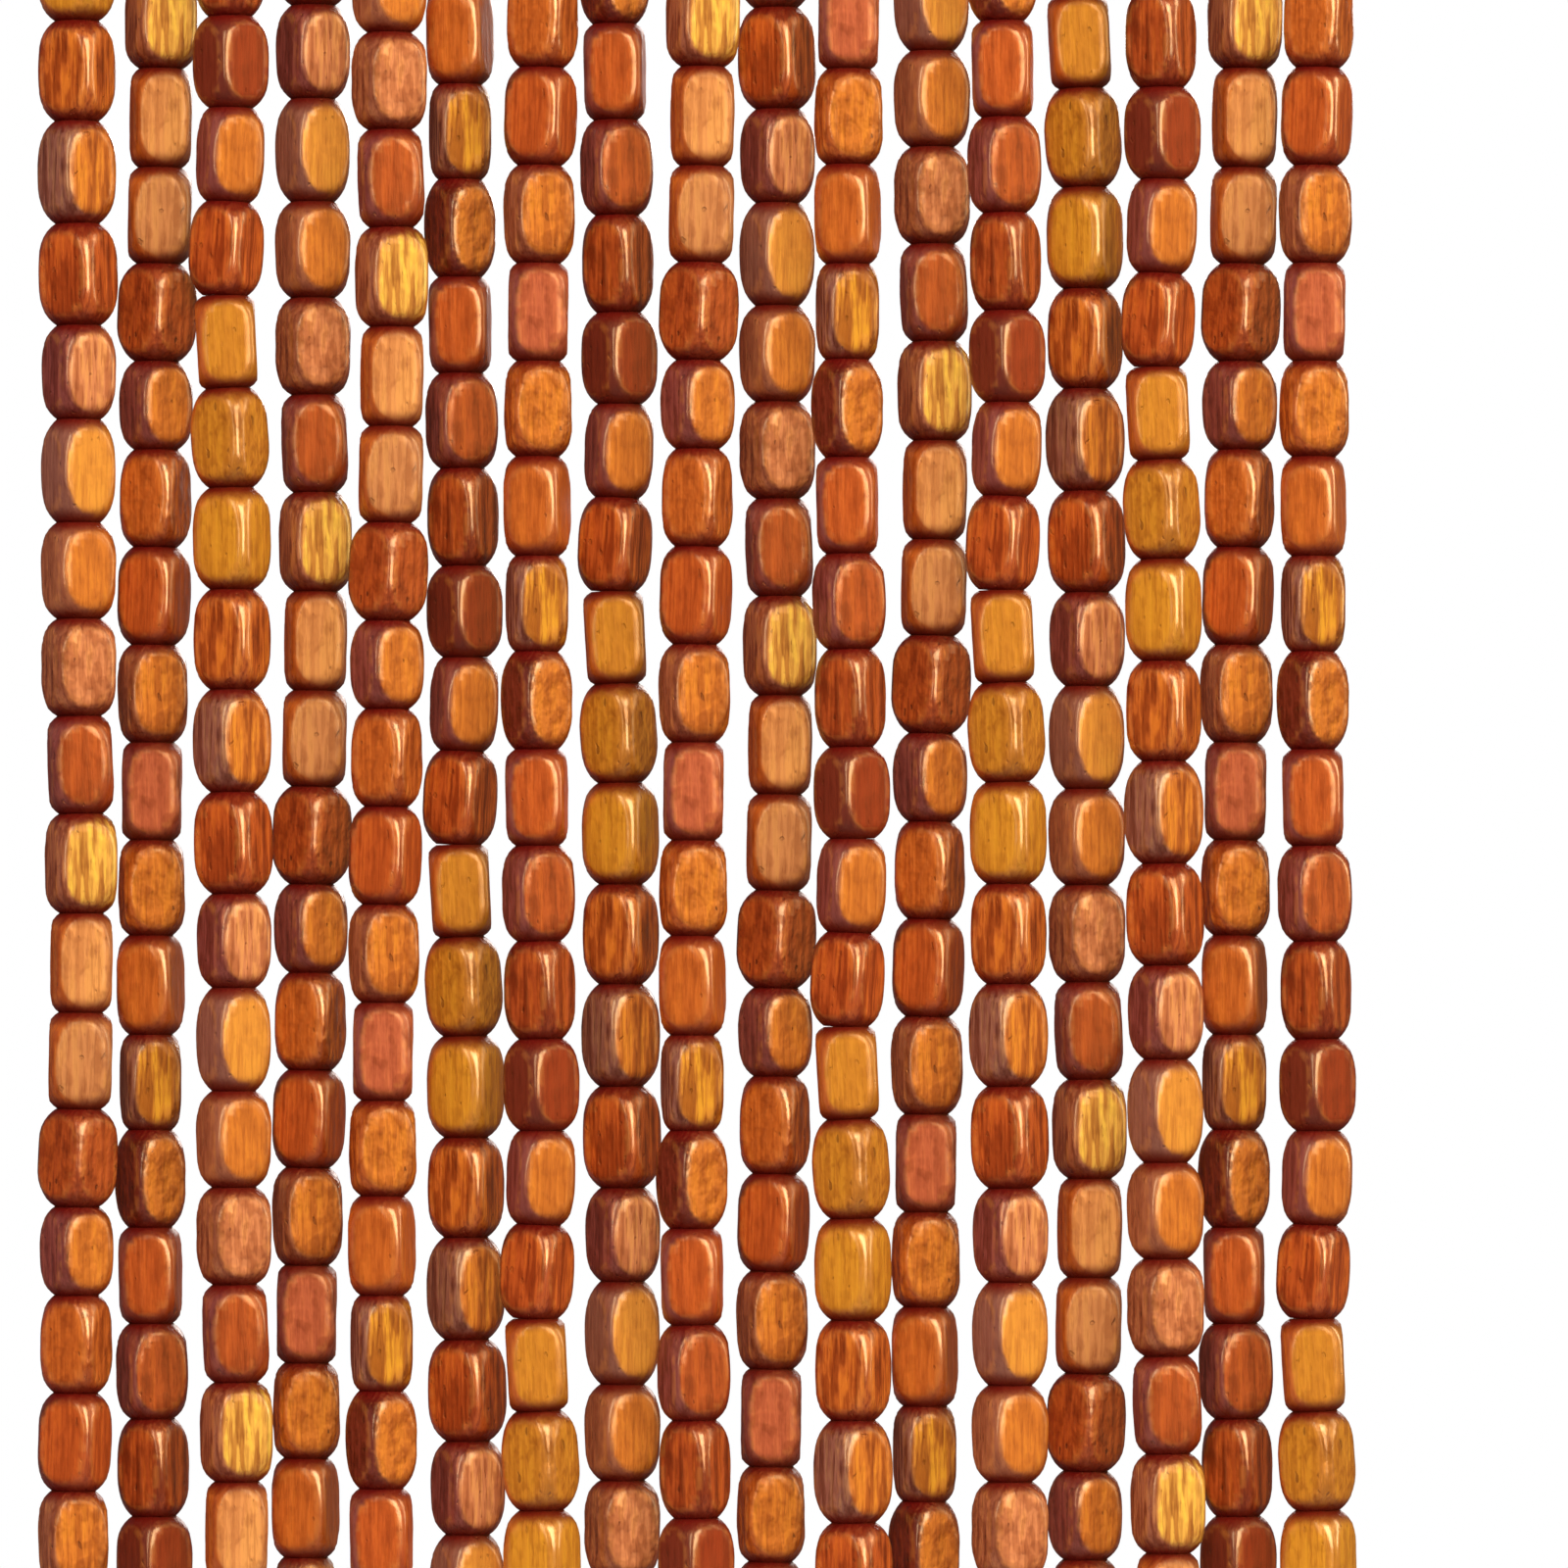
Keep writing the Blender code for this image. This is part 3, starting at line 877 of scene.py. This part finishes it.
def make_stitches():
    """Each stitch comes up out of the cloth, lies on it and goes down again, front and back."""
    mesh = thread_mesh()
    surface = FOLD_RADIUS + LAYER / 2 - SEAM_PULL
    count = int((TAPE_WIDTH - SEAM_SHORT) / STITCH_PITCH)
    random = np.random.default_rng(STITCH_SEED)
    for seam in SEAMS:
        for side in (-1, 1):
            for step in range(count):
                start = (step - count / 2) * STITCH_PITCH + (STITCH_PITCH - STITCH_LENGTH) / 2
                slant = random.uniform(-STITCH_SLANT, STITCH_SLANT)
                path = [Vector((start + share * STITCH_LENGTH, side * (surface + rise),
                                seam + slant * (share - 0.5) * 2)) for share, rise in STITCH_SHAPE]
                sweep(mesh, path, STITCH_RADIUS, 6)
    return thread_piece(mesh, "stitches", "heading_tape")


stitches = make_stitches()
print("stitches:", len(stitches.data.polygons), "faces")

# %% [markdown]
# Studio light and camera
#
# The reference is a straight-on close-up against plain white. A long lens keeps the strands parallel.
# What makes the picture is a bright line down each ridge, a thin rim round each flat, and a dark left
# side. One big lamp would give all three at once, but none as strong as it should be, so shine and
# light are parted. Three tall warm strips only shine: a wide one is mirrored in the ridges that face
# the camera, and two narrow ones draw the rims. Soft boxes in front, at the right and, dimly, at the
# left only light, and one behind lights the back. The rims and the dark left side are also painted
# into the wood's colour, as a painted highlight and a painted shade. The world is white only to the
# camera; to the beads it is a dim warm room, or every edge would glare.

# %% Camera
IMAGE_SIDE = 1600  # pixels
STRAND_PIXELS = 79.1  # from one strand to the next, across the image
MIDDLE_STRAND_AT = 710.5  # pixels from the image's left edge
HEM_ABOVE_IMAGE = 115  # pixels from the heading's lower edge down to the image's top edge
CAMERA_DISTANCE = 1.6
SENSOR = 36  # mm, the camera's own

metres_per_pixel = PITCH / STRAND_PIXELS
view_width = IMAGE_SIDE * metres_per_pixel
look_at = Vector(((IMAGE_SIDE / 2 - MIDDLE_STRAND_AT) * metres_per_pixel, 0,
                  HEM - (HEM_ABOVE_IMAGE + IMAGE_SIDE / 2) * metres_per_pixel))
camera = bpy.data.objects.new("camera", bpy.data.cameras.new("camera"))
camera.data.sensor_width = SENSOR
camera.data.lens = SENSOR * CAMERA_DISTANCE / view_width
camera.location = look_at + Vector((0, -CAMERA_DISTANCE, 0))
camera.rotation_euler = (math.radians(90), 0, 0)
bpy.context.scene.collection.objects.link(camera)
bpy.context.scene.camera = camera
print("camera sees", round(view_width * 1000), "mm across, lens", round(camera.data.lens), "mm")

# %% Lights: shines means that varnish mirrors the lamp, lights that it lights wood and cloth
Lamp = namedtuple("Lamp", "name azimuth elevation distance width height watts colour shines lights")
LAMPS = [
    Lamp("right_strip", 88, 20, 0.9, 0.14, 0.80, 5, (1.0, 0.74, 0.40), True, False),
    Lamp("ridge_strip", 26, 20, 0.9, 0.44, 0.80, 13, (1.0, 0.76, 0.40), True, False),
    Lamp("left_strip", -20, 20, 0.9, 0.10, 0.80, 2, (1.0, 0.78, 0.44), True, False),
    Lamp("front_fill", -4, 36, 1.2, 0.6, 0.6, 13.5, (1.0, 0.95, 0.86), False, True),
    Lamp("right_fill", 60, 22, 1.2, 0.6, 0.6, 8, (1.0, 0.92, 0.80), False, True),
    Lamp("left_sheen", -70, 4, 0.9, 0.4, 0.8, 2.0, (0.90, 0.70, 0.84), False, True),
    Lamp("back_fill", 170, 25, 1.0, 0.6, 0.6, 9, (1.0, 0.98, 0.95), True, True),
]


def add_lamp(lamp):
    """A soft box that faces the middle of the view. Azimuth is from the camera, to its right."""
    data = bpy.data.lights.new(lamp.name, "AREA")
    data.shape = "RECTANGLE"
    data.size, data.size_y = lamp.width, lamp.height
    data.energy = lamp.watts
    data.color = lamp.colour
    data.use_shadow = lamp.lights
    turn, rise = math.radians(lamp.azimuth), math.radians(lamp.elevation)
    away = Vector((math.sin(turn) * math.cos(rise), -math.cos(turn) * math.cos(rise), math.sin(rise)))
    light = bpy.data.objects.new(lamp.name, data)
    light.location = look_at + away * lamp.distance
    light.rotation_euler = away.to_track_quat("Z", "Y").to_euler()
    light.visible_camera = False
    light.visible_diffuse = lamp.lights
    light.visible_glossy = lamp.shines
    bpy.context.scene.collection.objects.link(light)


for lamp in LAMPS:
    add_lamp(lamp)
print(len(LAMPS), "lamps")

# %% World
ROOM = (0.16, 0.098, 0.090)


def make_world():
    """White to the camera, a dim room to everything else."""
    world = bpy.data.worlds.new("studio")
    bpy.context.scene.world = world
    world.use_nodes = True
    tree = world.node_tree
    room = tree.nodes["Background"]
    room.inputs["Color"].default_value = (*ROOM, 1)
    white = tree.nodes.new("ShaderNodeBackground")
    white.inputs["Color"].default_value = (1, 1, 1, 1)
    path = tree.nodes.new("ShaderNodeLightPath")
    choose = tree.nodes.new("ShaderNodeMixShader")
    tree.links.new(path.outputs["Is Camera Ray"], choose.inputs[0])
    tree.links.new(room.outputs[0], choose.inputs[1])
    tree.links.new(white.outputs[0], choose.inputs[2])
    tree.links.new(choose.outputs[0], tree.nodes["World Output"].inputs["Surface"])


make_world()
bpy.context.scene.view_settings.view_transform = "Standard"
print("world and view set")

# %% Floor
FLOOR_DROP = 0.045  # below the lowest knot
FLOOR_RADIUS = 0.20


def make_floor():
    mesh = bmesh.new()
    bmesh.ops.create_circle(mesh, segments=96, radius=FLOOR_RADIUS, cap_ends=True)
    bmesh.ops.translate(mesh, verts=mesh.verts, vec=(0, 0, cad_box[0].z - FLOOR_DROP))
    data = bpy.data.meshes.new("floor")
    mesh.to_mesh(data)
    mesh.free()
    pale = Finish("pale_floor")
    data.materials.append(pale.surface(Base_Color=(0.80, 0.79, 0.77, 1), Roughness=0.7))
    floor = bpy.data.objects.new("floor", data)
    floor.visible_glossy = False
    bpy.context.scene.collection.objects.link(floor)


make_floor()
print("floor at", round(cad_box[0].z - FLOOR_DROP, 3))
